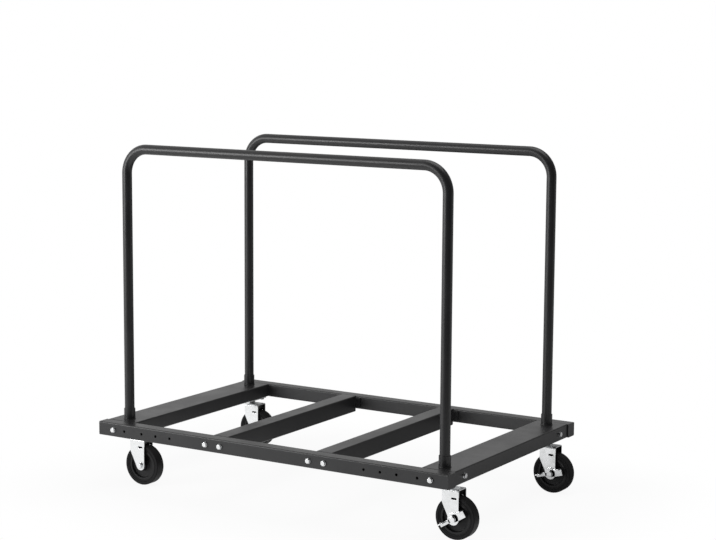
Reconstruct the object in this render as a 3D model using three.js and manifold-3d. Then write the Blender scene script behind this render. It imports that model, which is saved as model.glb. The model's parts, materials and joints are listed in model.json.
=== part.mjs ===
// A cart for sheet goods and round table tops: a bolted bed of box-section rails and beams on
// four swivel casters, with two bent-tube hoops that stand in the end beams and hold the load upright.
// Millimetres, +Z up, rails along X. The origin is on the floor under the middle of the cart's box.
import * as THREE from "three";
import { mergeVertices } from "three/addons/utils/BufferGeometryUtils.js";
import Module from "manifold-3d";

const wasm = await Module();
wasm.setup();

// Bed: two rails, two wide end beams and two middle beams, all flush on top
const RAIL_LENGTH = 1310;
const BED_WIDTH = 850;
const RAIL_WIDTH = 45;
const RAIL_HEIGHT = 45;
const RAIL_WALL = 2.5;
const RAIL_END_PLATE = 3;
const END_BEAM_INSET = 60;
const END_BEAM_WIDTH = 112;
const END_BEAM_HEIGHT = 45;
const END_BEAM_WALL = 2.5;
const MIDDLE_BEAM_OFFSET = 195;
const MIDDLE_BEAM_WIDTH = 58;
const MIDDLE_BEAM_HEIGHT = 56;
const MIDDLE_BEAM_WALL = 2.5;
const SECTION_CORNER = 4;

// Joints of the bed: flange plates on the middle beams, angle brackets in the end beams
const FLANGE_WIDTH = 98;
const FLANGE_HEIGHT = 34;
const FLANGE_THICKNESS = 6;
const FLANGE_BOLT_SPACING = 56;
const FLANGE_TAP_DEPTH = 5;
const BRACKET_REACH = 92;
const BRACKET_THICKNESS = 3;
const END_BOLT_REACH = 58;

// Bolts of the bed, and the spare holes for moving the middle beams
const BOLT_DIAMETER = 8;
const BOLT_HEAD_ACROSS = 14;
const BOLT_HEAD_HEIGHT = 5.5;
const BOLT_WASHER_DIAMETER = 17;
const BOLT_WASHER_THICKNESS = 1.6;
const BOLT_NUT_HEIGHT = 6.5;
const BOLT_TAIL = 2;
const SPARE_HOLE_DIAMETER = 9;
const SPARE_HOLE_FIRST = 365;
const SPARE_HOLE_PITCH = 57;
const SPARE_HOLE_COUNT = 3;
const SPARE_HOLE_OUTER = 550;

// Hoops and the low sockets round their feet
const HOOP_HEIGHT = 907;
const HOOP_INSET = 85;
const HOOP_TUBE = 32;
const HOOP_WALL = 1.5;
const HOOP_BEND = 80;
const SOCKET_HEIGHT = 35;
const SOCKET_WALL = 2;

// Casters
const CASTER_END_INSET = 66;
const CASTER_SIDE_INSET = 100;
const CASTER_TRAIL = 43;
const WHEEL_DIAMETER = 132;
const WHEEL_WIDTH = 34;
const TYRE_THICKNESS = 15;
const TYRE_SHOULDER = 2.5;
const HUB_DIAMETER = 34;
const HUB_WIDTH = 38;
const WEB_THICKNESS = 12;
const RIM_THICKNESS = 8;
const FORK_PLATE = 4;
const FORK_HEADROOM = 19;
const LEG_FRONT = 2;
const LEG_STRAIGHT = 38;
const LEG_END_RADIUS = 16;
const LEG_SLOT_LENGTH = 18;
const LEG_SLOT_HEIGHT = 6;
const LEG_SLOT_RISE = 61;
const PLATE_ACROSS = 88;
const PLATE_ALONG = 110;
const PLATE_THICKNESS = 4;
const PLATE_CORNER = 8;
const PLATE_HOLE_DIAMETER = 9;
const PLATE_HOLE_EDGE = 13;
const RACE_DIAMETER = 58;
const RACE_TAPER = 4;
const UPPER_RACE_HEIGHT = 4.1;
const BEARING_HEIGHT = 5;
const BEARING_BORE = 30;
const LOWER_RACE_HEIGHT = 3;
const KINGPIN_DIAMETER = 12;
const KINGPIN_HEAD_DIAMETER = 22;
const KINGPIN_HEAD_HEIGHT = 4;

// Wheel axles
const AXLE_DIAMETER = 10;
const AXLE_HEAD_ACROSS = 17;
const AXLE_HEAD_HEIGHT = 6;
const AXLE_WASHER_DIAMETER = 20;
const AXLE_WASHER_THICKNESS = 2;
const AXLE_NUT_HEIGHT = 8;
const AXLE_TAIL = 2;

// Brake levers on the two right-hand casters: a rocker on the axle with a foot pad at each end
const LEVER_THICKNESS = 4;
const LEVER_BOSS_DIAMETER = 38;
const LEVER_LONG_ARM = 50;
const LEVER_LONG_DEPTH = 11;
const LEVER_SHORT_ARM = 43;
const LEVER_SHORT_DEPTH = 24;
const LEVER_PAD_LENGTH = 22;
const LEVER_PAD_WIDTH = 16;
const LEVER_PAD_THICKNESS = 3.5;
const FRONT_LEVER_TILT = 32;
const REAR_LEVER_TILT = 15;

// Clearances: between touching pieces, round a bolt, round a turning shaft, beside the wheel
const FIT = 0.3;
const BOLT_CLEARANCE = 0.5;
const RUNNING_CLEARANCE = 0.5;
const WHEEL_CLEARANCE = 1;

// Sides of round faces, and steps of arcs
const TUBE_SIDES = 16;
const BEND_STEPS = 5;
const TYRE_SIDES = 32;
const CORE_SIDES = 20;
const RACE_SIDES = 16;
const LEG_STEPS = 10;
const PIN_SIDES = 8;
const HOLE_SIDES = 8;
const CORNER_STEPS = 2;

// Heights and places that follow from the sizes above
const wheelRadius = WHEEL_DIAMETER / 2;
const crownBottom = WHEEL_DIAMETER + FORK_HEADROOM;
const crownTop = crownBottom + FORK_PLATE;
const bearingBottom = crownTop + LOWER_RACE_HEIGHT + FIT;
const upperRaceBottom = bearingBottom + BEARING_HEIGHT + FIT;
const plateBottom = upperRaceBottom + UPPER_RACE_HEIGHT;
const plateTop = plateBottom + PLATE_THICKNESS;
const endBeamBottom = plateTop + FIT;
const bedTop = endBeamBottom + END_BEAM_HEIGHT;
const railY = (BED_WIDTH - RAIL_WIDTH) / 2;
const railFaceY = BED_WIDTH / 2;
const railInnerY = railFaceY - RAIL_WIDTH;
const railZ = bedTop - RAIL_HEIGHT / 2;
const endBeamX = RAIL_LENGTH / 2 - END_BEAM_INSET;
const endFaceX = endBeamX + END_BEAM_WIDTH / 2;
const endBeamZ = bedTop - END_BEAM_HEIGHT / 2;
const beamLength = 2 * (railInnerY - FIT);
const hoopY = railFaceY - HOOP_INSET;
const hoopTop = bedTop + HOOP_HEIGHT - HOOP_TUBE / 2;
const hoopFoot = endBeamBottom + END_BEAM_WALL + FIT;
const casterX = RAIL_LENGTH / 2 - CASTER_END_INSET;
const casterY = railFaceY - CASTER_SIDE_INSET;
const forkInnerY = HUB_WIDTH / 2 + WHEEL_CLEARANCE;
const forkOuterY = forkInnerY + FORK_PLATE;
const endBoltX = endFaceX + FIT + BOLT_WASHER_THICKNESS + BOLT_HEAD_HEIGHT;
const originShift = (casterX + CASTER_TRAIL + wheelRadius - endBoltX) / 2;

const SIDES_X = { left: -1, right: 1 };
const SIDES_Y = { front: -1, rear: 1 };

const blackCoat = new THREE.MeshStandardMaterial({ color: 0x2b2c2e, roughness: 0.5, metalness: 0.3 });
const zinc = new THREE.MeshStandardMaterial({ color: 0xd4d6d8, roughness: 0.3, metalness: 1 });
const darkSteel = new THREE.MeshStandardMaterial({ color: 0x6d7073, roughness: 0.45, metalness: 1 });
const rubber = new THREE.MeshStandardMaterial({ color: 0x161617, roughness: 0.75, metalness: 0 });
const corePlastic = new THREE.MeshStandardMaterial({ color: 0x1b1b1d, roughness: 0.55, metalness: 0 });

// A geometry as a closed solid for joining and cutting
function solidOf(geometry) {
  const bare = geometry.index ? geometry.toNonIndexed() : geometry.clone();
  bare.deleteAttribute("normal");
  bare.deleteAttribute("uv");
  const merged = mergeVertices(bare, 1e-4);
  return new wasm.Manifold(
    new wasm.Mesh({
      numProp: 3,
      vertProperties: merged.attributes.position.array,
      triVerts: new Uint32Array(merged.index.array),
    }),
  );
}

// A solid back as a geometry
function geometryOf(solid) {
  const mesh = solid.getMesh();
  const geometry = new THREE.BufferGeometry();
  geometry.setAttribute("position", new THREE.BufferAttribute(mesh.vertProperties, mesh.numProp));
  geometry.setIndex(new THREE.BufferAttribute(mesh.triVerts, 1));
  geometry.computeVertexNormals();
  return geometry;
}

// One geometry made of several that touch or overlap
function join(first, ...others) {
  return geometryOf(others.reduce((whole, other) => whole.add(solidOf(other)), solidOf(first)));
}

// A geometry with others taken away from it
function cut(body, tools) {
  return geometryOf(tools.reduce((rest, tool) => rest.subtract(solidOf(tool)), solidOf(body)));
}

// A block by its middle and its sizes along X, Y and Z
function block(x, y, z, sizeX, sizeY, sizeZ) {
  return new THREE.BoxGeometry(sizeX, sizeY, sizeZ).translate(x, y, z);
}

// A cylinder along one axis, from one end to the other, with its axis through the given point
function rod(axis, radius, from, to, sides, x = 0, y = 0, z = 0) {
  const shape = new THREE.CylinderGeometry(radius, radius, to - from, sides);
  const middle = (from + to) / 2;
  if (axis === "x") return shape.rotateZ(Math.PI / 2).translate(middle, y, z);
  if (axis === "y") return shape.translate(x, middle, z);
  return shape.rotateX(Math.PI / 2).translate(x, y, middle);
}

// A ring or disc turned about Z from its outline of [radius, height] points, listed anticlockwise
function turned(outline, sides) {
  const points = [...outline, outline[0]].map(([radius, height]) => new THREE.Vector2(radius, height));
  return new THREE.LatheGeometry(points, sides).rotateX(Math.PI / 2);
}

// A rectangle with round corners about the origin
function roundedRectangle(width, height, radius) {
  const shape = new THREE.Shape();
  const x = width / 2 - radius;
  const y = height / 2 - radius;
  shape.absarc(x, y, radius, 0, Math.PI / 2);
  shape.absarc(-x, y, radius, Math.PI / 2, Math.PI);
  shape.absarc(-x, -y, radius, Math.PI, 1.5 * Math.PI);
  shape.absarc(x, -y, radius, 1.5 * Math.PI, 2 * Math.PI);
  shape.closePath();
  return shape;
}

// A flat outline given thickness along +Z, with its arcs drawn in the given number of steps
function slab(shape, thickness, arcSteps = CORNER_STEPS) {
  const options = { depth: thickness, bevelEnabled: false, curveSegments: arcSteps / 2 };
  return new THREE.ExtrudeGeometry(shape, options);
}

// A box-section bar along Y about the origin
function barAlongY(width, height, corner, length) {
  return slab(roundedRectangle(width, height, corner), length)
    .translate(0, 0, -length / 2)
    .rotateX(-Math.PI / 2);
}

// A box-section tube along Y, open at both ends
function tubeAlongY(width, height, wall, length) {
  const bore = barAlongY(width - 2 * wall, height - 2 * wall, SECTION_CORNER - wall, length + 2 * wall);
  return cut(barAlongY(width, height, SECTION_CORNER, length), [bore]);
}

// A bolt with its washer and, where it has one, its nut, along +Z, clamping what lies between 0 and grip
function fastener({ diameter, across, head, washer, washerThickness, nut, tail }, grip, hasNut = true) {
  const hexRadius = across / Math.sqrt(3);
  const washerTop = -FIT;
  const headTop = washerTop - washerThickness;
  const nutBottom = grip + FIT;
  const nutTop = nutBottom + nut;
  const pieces = [
    rod("z", diameter / 2, headTop - head / 2, hasNut ? nutTop + tail : grip, PIN_SIDES),
    rod("z", washer / 2, headTop, washerTop, PIN_SIDES),
    rod("z", hexRadius, headTop - head, headTop, 6),
  ];
  if (hasNut) pieces.push(rod("z", hexRadius, nutBottom, nutTop, 6));
  return join(...pieces);
}

const bedBolt = {
  diameter: BOLT_DIAMETER,
  across: BOLT_HEAD_ACROSS,
  head: BOLT_HEAD_HEIGHT,
  washer: BOLT_WASHER_DIAMETER,
  washerThickness: BOLT_WASHER_THICKNESS,
  nut: BOLT_NUT_HEIGHT,
  tail: BOLT_TAIL,
};
const axleBolt = {
  diameter: AXLE_DIAMETER,
  across: AXLE_HEAD_ACROSS,
  head: AXLE_HEAD_HEIGHT,
  washer: AXLE_WASHER_DIAMETER,
  washerThickness: AXLE_WASHER_THICKNESS,
  nut: AXLE_NUT_HEIGHT,
  tail: AXLE_TAIL,
};
const boltHoleRadius = BOLT_DIAMETER / 2 + BOLT_CLEARANCE;

const cart = new THREE.Group();
cart.position.x = -originShift;

// Adds one named piece to a group
function add(parent, name, geometry, material) {
  const mesh = new THREE.Mesh(geometry, material);
  mesh.name = name;
  parent.add(mesh);
  return mesh;
}

// Places along a rail, from the bed's middle, where bolts go through it
function railBoltPlaces() {
  const places = [];
  for (const [side, sx] of Object.entries(SIDES_X)) {
    places.push({ name: `${side}_end`, x: sx * endBeamX, clamped: BRACKET_THICKNESS, hasNut: true });
    for (const [edge, step] of [["inner", -1], ["outer", 1]]) {
      const x = sx * (MIDDLE_BEAM_OFFSET + (step * FLANGE_BOLT_SPACING) / 2);
      places.push({ name: `${side}_middle_${edge}`, x, clamped: FLANGE_TAP_DEPTH, hasNut: false });
    }
  }
  return places;
}

// Places along a rail of the open spare holes in its outer wall
function spareHolePlaces() {
  const offsets = [SPARE_HOLE_OUTER];
  for (let i = 0; i < SPARE_HOLE_COUNT; i += 1) offsets.push(SPARE_HOLE_FIRST + i * SPARE_HOLE_PITCH);
  return offsets.flatMap((offset) => [-offset, offset]);
}

// A rail: a box tube closed by a plate at each end and drilled for its bolts
function rail(sy) {
  const outside = barAlongY(RAIL_WIDTH, RAIL_HEIGHT, SECTION_CORNER, RAIL_LENGTH);
  const bore = barAlongY(
    RAIL_WIDTH - 2 * RAIL_WALL,
    RAIL_HEIGHT - 2 * RAIL_WALL,
    SECTION_CORNER - RAIL_WALL,
    RAIL_LENGTH - 2 * RAIL_END_PLATE,
  );
  const holes = railBoltPlaces().map(({ x }) =>
    rod("y", boltHoleRadius, -RAIL_WIDTH, RAIL_WIDTH, HOLE_SIDES, x),
  );
  const spares = spareHolePlaces().map((x) =>
    rod("y", SPARE_HOLE_DIAMETER / 2, sy > 0 ? 0 : -RAIL_WIDTH, sy > 0 ? RAIL_WIDTH : 0, HOLE_SIDES, x),
  );
  const tube = cut(outside.rotateZ(Math.PI / 2), [bore.rotateZ(Math.PI / 2), ...holes, ...spares]);
  return tube.translate(0, sy * railY, railZ);
}

// An end beam: a wide flat box tube between the rails, drilled for the posts and the bolts in its outer face
function endBeam(sx) {
  const tube = tubeAlongY(END_BEAM_WIDTH, END_BEAM_HEIGHT, END_BEAM_WALL, beamLength);
  const outer = [0, sx * END_BEAM_WIDTH].sort((a, b) => a - b);
  const postHole = HOOP_TUBE / 2 + RUNNING_CLEARANCE;
  const holes = Object.values(SIDES_Y).flatMap((sy) => [
    rod("x", boltHoleRadius, ...outer, HOLE_SIDES, 0, sy * (railInnerY - END_BOLT_REACH)),
    rod("z", postHole, 0, END_BEAM_HEIGHT, TUBE_SIDES, 0, sy * hoopY),
  ]);
  return cut(tube, holes).translate(sx * endBeamX, 0, endBeamZ);
}

// A middle beam: a box tube with a tapped flange plate welded across each end
function middleBeam(sx) {
  const tube = tubeAlongY(MIDDLE_BEAM_WIDTH, MIDDLE_BEAM_HEIGHT, MIDDLE_BEAM_WALL, beamLength);
  const dropToRail = (MIDDLE_BEAM_HEIGHT - RAIL_HEIGHT) / 2;
  const flangeY = beamLength / 2 - FLANGE_THICKNESS / 2;
  const flanges = Object.values(SIDES_Y).map((sy) =>
    block(0, sy * flangeY, dropToRail, FLANGE_WIDTH, FLANGE_THICKNESS, FLANGE_HEIGHT),
  );
  const tapEnd = beamLength / 2 - FLANGE_TAP_DEPTH - FIT;
  const holes = Object.values(SIDES_Y).flatMap((sy) =>
    [-1, 1].map((step) => {
      const reach = [sy * tapEnd, sy * beamLength].sort((a, b) => a - b);
      return rod("y", boltHoleRadius, ...reach, HOLE_SIDES, (step * FLANGE_BOLT_SPACING) / 2, 0, dropToRail);
    }),
  );
  const beam = cut(join(tube, ...flanges), holes);
  return beam.translate(sx * MIDDLE_BEAM_OFFSET, 0, bedTop - MIDDLE_BEAM_HEIGHT / 2);
}

// An angle bracket inside a corner: one leg against the rail, one against the end beam's outer wall
function cornerBracket(sx, sy) {
  const outerX = endFaceX - END_BEAM_WALL - FIT;
  const innerX = endBeamX - END_BEAM_WIDTH / 2 + END_BEAM_WALL + FIT;
  const wallY = railInnerY - FIT;
  const height = END_BEAM_HEIGHT - 2 * END_BEAM_WALL - 2 * (SECTION_CORNER - END_BEAM_WALL);
  const outline = [
    [outerX, wallY],
    [outerX, wallY - BRACKET_REACH],
    [outerX - BRACKET_THICKNESS, wallY - BRACKET_REACH],
    [outerX - BRACKET_THICKNESS, wallY - BRACKET_THICKNESS],
    [innerX, wallY - BRACKET_THICKNESS],
    [innerX, wallY],
  ].map(([x, y]) => new THREE.Vector2(sx * x, sy * y));
  const angle = slab(new THREE.Shape(outline), height).translate(0, 0, endBeamZ - height / 2);
  const reach = RAIL_WIDTH;
  const boltY = sy * (railInnerY - END_BOLT_REACH);
  return cut(angle, [
    rod("y", boltHoleRadius, sy * wallY - reach, sy * wallY + reach, HOLE_SIDES, sx * endBeamX, 0, railZ),
    rod("x", boltHoleRadius, sx * outerX - reach, sx * outerX + reach, HOLE_SIDES, 0, boltY, endBeamZ),
  ]);
}

// A bolt through a rail, its head on the rail's outer face, into a nut or a tapped flange plate
function railBolt(sy, { x, clamped, hasNut }) {
  const grip = RAIL_WIDTH + FIT + clamped;
  return fastener(bedBolt, grip, hasNut)
    .rotateX((sy * Math.PI) / 2)
    .translate(x, sy * railFaceY, railZ);
}

// A bolt through an end beam's outer face into the corner bracket
function endBolt(sx, sy) {
  const grip = END_BEAM_WALL + FIT + BRACKET_THICKNESS;
  return fastener(bedBolt, grip)
    .rotateY((-sx * Math.PI) / 2)
    .translate(sx * endFaceX, sy * (railInnerY - END_BOLT_REACH), endBeamZ);
}

// The hoop's centreline: up one post, round two bends and down the other, in exact stations
class HoopLine extends THREE.Curve {
  constructor() {
    super();
    const bendX = endBeamX - HOOP_BEND;
    const bendZ = hoopTop - HOOP_BEND;
    this.stations = [[-endBeamX, hoopFoot, Math.PI]];
    for (const [x, first] of [[-bendX, Math.PI], [bendX, Math.PI / 2]]) {
      for (let i = 0; i <= BEND_STEPS; i += 1) {
        const angle = first - (i / BEND_STEPS) * (Math.PI / 2);
        this.stations.push([x + HOOP_BEND * Math.cos(angle), bendZ + HOOP_BEND * Math.sin(angle), angle]);
      }
    }
    this.stations.push([endBeamX, hoopFoot, 0]);
  }

  get steps() {
    return this.stations.length - 1;
  }

  getPointAt(share) {
    const [x, z] = this.stations[Math.round(share * this.steps)];
    return new THREE.Vector3(x, 0, z);
  }

  getTangentAt(share) {
    const angle = this.stations[Math.round(share * this.steps)][2];
    return new THREE.Vector3(Math.sin(angle), 0, -Math.cos(angle));
  }
}

// A hoop: one round tube bent along the hoop's centreline, open at its feet
function hoop(sy) {
  const line = new HoopLine();
  const section = new THREE.Shape().absarc(0, 0, HOOP_TUBE / 2, 0, 2 * Math.PI);
  section.holes.push(new THREE.Path().absarc(0, 0, HOOP_TUBE / 2 - HOOP_WALL, 0, 2 * Math.PI));
  const options = { steps: line.steps, extrudePath: line, curveSegments: TUBE_SIDES / 2 };
  return new THREE.ExtrudeGeometry(section, options).translate(0, sy * hoopY, 0);
}

// A socket: a short sleeve round the foot of a post, on the end beam
function socket(sx, sy) {
  const inner = HOOP_TUBE / 2 + RUNNING_CLEARANCE;
  const outer = inner + SOCKET_WALL;
  const bottom = bedTop + FIT;
  const top = bedTop + SOCKET_HEIGHT;
  const outline = [[inner, bottom], [outer, bottom], [outer, top], [inner, top]];
  return turned(outline, TUBE_SIDES).translate(sx * endBeamX, sy * hoopY, 0);
}

// A caster's mounting plate with the upper ball race and the riveted kingpin under it
function mountingPlate() {
  const plate = slab(roundedRectangle(PLATE_ACROSS, PLATE_ALONG, PLATE_CORNER), PLATE_THICKNESS);
  const holeX = PLATE_ACROSS / 2 - PLATE_HOLE_EDGE;
  const holeY = PLATE_ALONG / 2 - PLATE_HOLE_EDGE;
  const holes = [-1, 1].flatMap((sx) =>
    [-1, 1].map((sy) =>
      rod("z", PLATE_HOLE_DIAMETER / 2, -plateTop, plateTop, HOLE_SIDES, sx * holeX, sy * holeY),
    ),
  );
  const race = RACE_DIAMETER / 2;
  const pin = KINGPIN_DIAMETER / 2;
  const pinHead = KINGPIN_HEAD_DIAMETER / 2;
  const headTop = crownBottom - FIT;
  const stem = [
    [0, headTop - KINGPIN_HEAD_HEIGHT],
    [pinHead, headTop - KINGPIN_HEAD_HEIGHT],
    [pinHead, headTop],
    [pin, headTop],
    [pin, upperRaceBottom],
    [race - RACE_TAPER, upperRaceBottom],
    [race, plateBottom + PLATE_THICKNESS / 2],
    [0, plateBottom + PLATE_THICKNESS / 2],
  ];
  return join(cut(plate.translate(0, 0, plateBottom), holes), turned(stem, RACE_SIDES));
}

// The ring of balls in its cage, between the two races
function swivelBearing() {
  const inner = BEARING_BORE / 2;
  const outer = RACE_DIAMETER / 2 - RACE_TAPER;
  const top = bearingBottom + BEARING_HEIGHT;
  const outline = [[inner, bearingBottom], [outer, bearingBottom], [outer, top], [inner, top]];
  return turned(outline, RACE_SIDES);
}

// A slot with round ends about a point of a side outline
function slotPath(x, z, length, height) {
  const radius = height / 2;
  const reach = length / 2 - radius;
  const path = new THREE.Path();
  path.absarc(x + reach, z, radius, -Math.PI / 2, Math.PI / 2);
  path.absarc(x - reach, z, radius, Math.PI / 2, 1.5 * Math.PI);
  path.closePath();
  return path;
}

// The side outline of a fork leg: straight behind, slanted in front, round about the axle, with a slot
function legOutline() {
  const rear = CASTER_TRAIL + LEG_END_RADIUS;
  const slantTop = crownBottom - LEG_STRAIGHT;
  const run = LEG_FRONT - CASTER_TRAIL;
  const rise = slantTop - wheelRadius;
  const touch = Math.atan2(rise, run) + Math.acos(LEG_END_RADIUS / Math.hypot(run, rise));
  const shape = new THREE.Shape();
  shape.moveTo(LEG_FRONT, crownTop);
  shape.lineTo(LEG_FRONT, slantTop);
  shape.absarc(CASTER_TRAIL, wheelRadius, LEG_END_RADIUS, touch, 2 * Math.PI, false);
  shape.lineTo(rear, crownTop);
  shape.closePath();
  const hole = AXLE_DIAMETER / 2 + BOLT_CLEARANCE;
  shape.holes.push(new THREE.Path().absarc(CASTER_TRAIL, wheelRadius, hole, 0, 2 * Math.PI));
  shape.holes.push(slotPath(CASTER_TRAIL, wheelRadius + LEG_SLOT_RISE, LEG_SLOT_LENGTH, LEG_SLOT_HEIGHT));
  return shape;
}

// The fork's crown from above: round in front, about the kingpin, and square behind
function crownOutline() {
  const rear = CASTER_TRAIL + LEG_END_RADIUS;
  const shape = new THREE.Shape();
  shape.absarc(0, 0, forkOuterY, Math.PI / 2, 1.5 * Math.PI);
  shape.lineTo(rear, -forkOuterY);
  shape.lineTo(rear, forkOuterY);
  shape.closePath();
  return shape;
}

// The fork: a crown plate with the lower ball race on it and a leg down each side of the wheel
function fork() {
  const crown = slab(crownOutline(), FORK_PLATE, LEG_STEPS).translate(0, 0, crownBottom);
  const legs = [-forkInnerY, forkOuterY].map((y) =>
    slab(legOutline(), FORK_PLATE, LEG_STEPS)
      .rotateX(Math.PI / 2)
      .translate(0, y, 0),
  );
  const race = RACE_DIAMETER / 2 - RACE_TAPER;
  const sunk = crownTop - FORK_PLATE / 2;
  const raceTop = crownTop + LOWER_RACE_HEIGHT;
  const dish = turned([[0, sunk], [race, sunk], [race, raceTop], [0, raceTop]], RACE_SIDES);
  const bore = rod("z", KINGPIN_DIAMETER / 2 + RUNNING_CLEARANCE, 0, plateTop, RACE_SIDES);
  return cut(join(crown, ...legs, dish), [bore]);
}

// The axle: a bolt through the fork, the wheel and, where there is one, the brake lever
function axle(hasBrake) {
  const stack = hasBrake ? LEVER_THICKNESS + FIT : 0;
  return fastener(axleBolt, 2 * forkOuterY + stack)
    .rotateX(-Math.PI / 2)
    .translate(CASTER_TRAIL, -forkOuterY - stack, wheelRadius);
}

// A wheel piece turned about the axle from its [radius, side] outline
function wheelPiece(outline, sides) {
  return turned(outline, sides).rotateX(Math.PI / 2).translate(CASTER_TRAIL, 0, wheelRadius);
}

// The tyre: a solid ring with rounded shoulders
function tyre() {
  const inner = wheelRadius - TYRE_THICKNESS;
  const side = WHEEL_WIDTH / 2;
  const half = [
    [inner, side],
    [wheelRadius - TYRE_SHOULDER, side],
    [wheelRadius - TYRE_SHOULDER / 4, side - TYRE_SHOULDER / 4],
    [wheelRadius, side - TYRE_SHOULDER],
  ];
  const mirrored = half.map(([radius, y]) => [radius, -y]);
  return wheelPiece([...mirrored, ...half.reverse()], TYRE_SIDES);
}

// The wheel's core: hub, thin web and rim, with the axle's bore
function wheelCore() {
  const bore = AXLE_DIAMETER / 2 + RUNNING_CLEARANCE;
  const hub = HUB_DIAMETER / 2;
  const rimOuter = wheelRadius - TYRE_THICKNESS - FIT;
  const rimInner = rimOuter - RIM_THICKNESS;
  const web = WEB_THICKNESS / 2;
  const rimSide = WHEEL_WIDTH / 2 - TYRE_THICKNESS / 6;
  const half = [
    [bore, HUB_WIDTH / 2],
    [hub, HUB_WIDTH / 2],
    [hub, web],
    [rimInner, web],
    [rimInner, rimSide],
    [rimOuter, rimSide],
  ];
  const mirrored = half.map(([radius, y]) => [radius, -y]);
  return wheelPiece([...mirrored, ...half.reverse()], CORE_SIDES);
}

// The brake lever about its pivot: a boss, two arms and a foot pad turned out at the end of each
function brakeLever() {
  const boss = rod("y", LEVER_BOSS_DIAMETER / 2, -LEVER_THICKNESS, 0, RACE_SIDES);
  const sizes = [[1, LEVER_SHORT_ARM, LEVER_SHORT_DEPTH], [-1, LEVER_LONG_ARM, LEVER_LONG_DEPTH]];
  const arms = [];
  for (const [side, length, depth] of sizes) {
    arms.push(block((side * length) / 2, -LEVER_THICKNESS / 2, 0, length, LEVER_THICKNESS, depth));
    const padX = side * (length - LEVER_PAD_LENGTH / 2);
    const padZ = depth / 2 - LEVER_PAD_THICKNESS / 2;
    const padWidth = LEVER_PAD_WIDTH + LEVER_THICKNESS;
    arms.push(block(padX, -padWidth / 2, padZ, LEVER_PAD_LENGTH, padWidth, LEVER_PAD_THICKNESS));
  }
  const hole = rod("y", AXLE_DIAMETER / 2 + RUNNING_CLEARANCE, -RAIL_WIDTH, RAIL_WIDTH, RACE_SIDES);
  return cut(join(boss, ...arms), [hole]);
}

// One caster, trailing towards +X
function addCaster(corner, sx, sy, leverTilt) {
  const caster = new THREE.Group();
  caster.position.set(sx * casterX, sy * casterY, 0);
  cart.add(caster);
  const hasBrake = leverTilt !== undefined;
  add(caster, `${corner}_caster_plate`, mountingPlate(), zinc);
  add(caster, `${corner}_swivel_bearing`, swivelBearing(), darkSteel);
  add(caster, `${corner}_fork`, fork(), zinc);
  add(caster, `${corner}_axle`, axle(hasBrake), zinc);
  add(caster, `${corner}_tyre`, tyre(), rubber);
  add(caster, `${corner}_wheel_core`, wheelCore(), corePlastic);
  if (hasBrake) {
    const lever = add(caster, `${corner}_brake_lever`, brakeLever(), zinc);
    lever.position.set(CASTER_TRAIL, -forkOuterY - FIT, wheelRadius);
    lever.rotation.y = -THREE.MathUtils.degToRad(leverTilt);
  }
}

for (const [face, sy] of Object.entries(SIDES_Y)) {
  add(cart, `${face}_rail`, rail(sy), blackCoat);
  add(cart, `${face}_hoop`, hoop(sy), blackCoat);
  for (const place of railBoltPlaces()) {
    add(cart, `${face}_${place.name}_bolt`, railBolt(sy, place), zinc);
  }
}

for (const [side, sx] of Object.entries(SIDES_X)) {
  add(cart, `${side}_end_beam`, endBeam(sx), blackCoat);
  add(cart, `${side}_middle_beam`, middleBeam(sx), blackCoat);
}

const leverTilts = { front_right: FRONT_LEVER_TILT, rear_right: REAR_LEVER_TILT };
for (const [face, sy] of Object.entries(SIDES_Y)) {
  for (const [side, sx] of Object.entries(SIDES_X)) {
    const corner = `${face}_${side}`;
    add(cart, `${corner}_corner_bracket`, cornerBracket(sx, sy), darkSteel);
    add(cart, `${corner}_end_face_bolt`, endBolt(sx, sy), zinc);
    add(cart, `${corner}_socket`, socket(sx, sy), blackCoat);
    addCaster(corner, sx, sy, leverTilts[corner]);
  }
}

export default cart;
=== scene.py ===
"""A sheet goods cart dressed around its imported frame.

A bed of black powder-coated box tube carries two bent-tube hoops and stands on four zinc swivel
casters with black rubber wheels. Each sub-assembly is a class that takes its sizes from the frame,
builds its meshes and dresses them. Sizes are in metres, +Z is up and the rails run along X.
"""

from __future__ import annotations

import json
import logging
import math
from dataclasses import dataclass, field, replace
from enum import Enum
from itertools import product
from typing import Iterable, Sequence, Union

import bmesh
import bpy
from mathutils import Matrix, Vector

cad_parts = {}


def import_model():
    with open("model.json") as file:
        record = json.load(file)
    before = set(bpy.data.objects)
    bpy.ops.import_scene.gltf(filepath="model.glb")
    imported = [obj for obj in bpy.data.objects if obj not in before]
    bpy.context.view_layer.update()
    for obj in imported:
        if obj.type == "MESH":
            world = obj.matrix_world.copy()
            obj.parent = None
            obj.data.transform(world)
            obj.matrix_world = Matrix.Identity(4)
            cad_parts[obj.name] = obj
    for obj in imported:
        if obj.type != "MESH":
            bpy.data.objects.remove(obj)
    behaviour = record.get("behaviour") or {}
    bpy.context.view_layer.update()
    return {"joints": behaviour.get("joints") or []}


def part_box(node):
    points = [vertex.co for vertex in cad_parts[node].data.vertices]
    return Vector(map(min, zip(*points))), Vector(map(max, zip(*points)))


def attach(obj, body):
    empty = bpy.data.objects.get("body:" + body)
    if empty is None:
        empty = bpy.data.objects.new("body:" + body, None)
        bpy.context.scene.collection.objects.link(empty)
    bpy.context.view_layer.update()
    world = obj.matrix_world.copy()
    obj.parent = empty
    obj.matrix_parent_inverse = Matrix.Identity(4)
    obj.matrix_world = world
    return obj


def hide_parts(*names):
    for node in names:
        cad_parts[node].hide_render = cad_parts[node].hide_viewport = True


LOG = logging.getLogger("sheet_goods_cart")
MM = 0.001
ALONG_X = Vector((1.0, 0.0, 0.0))
ALONG_Y = Vector((0.0, 1.0, 0.0))
UP = Vector((0.0, 0.0, 1.0))
SIDES = (-1, 1)
NOTHING = (0.0, 0.0, 0.0)
WHITE = (1.0, 1.0, 1.0, 1.0)

# Vertices closer than the first are one vertex, and places closer than the second are one place
WELD = 0.0001 * MM
SAME_PLACE = 0.001 * MM
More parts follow.
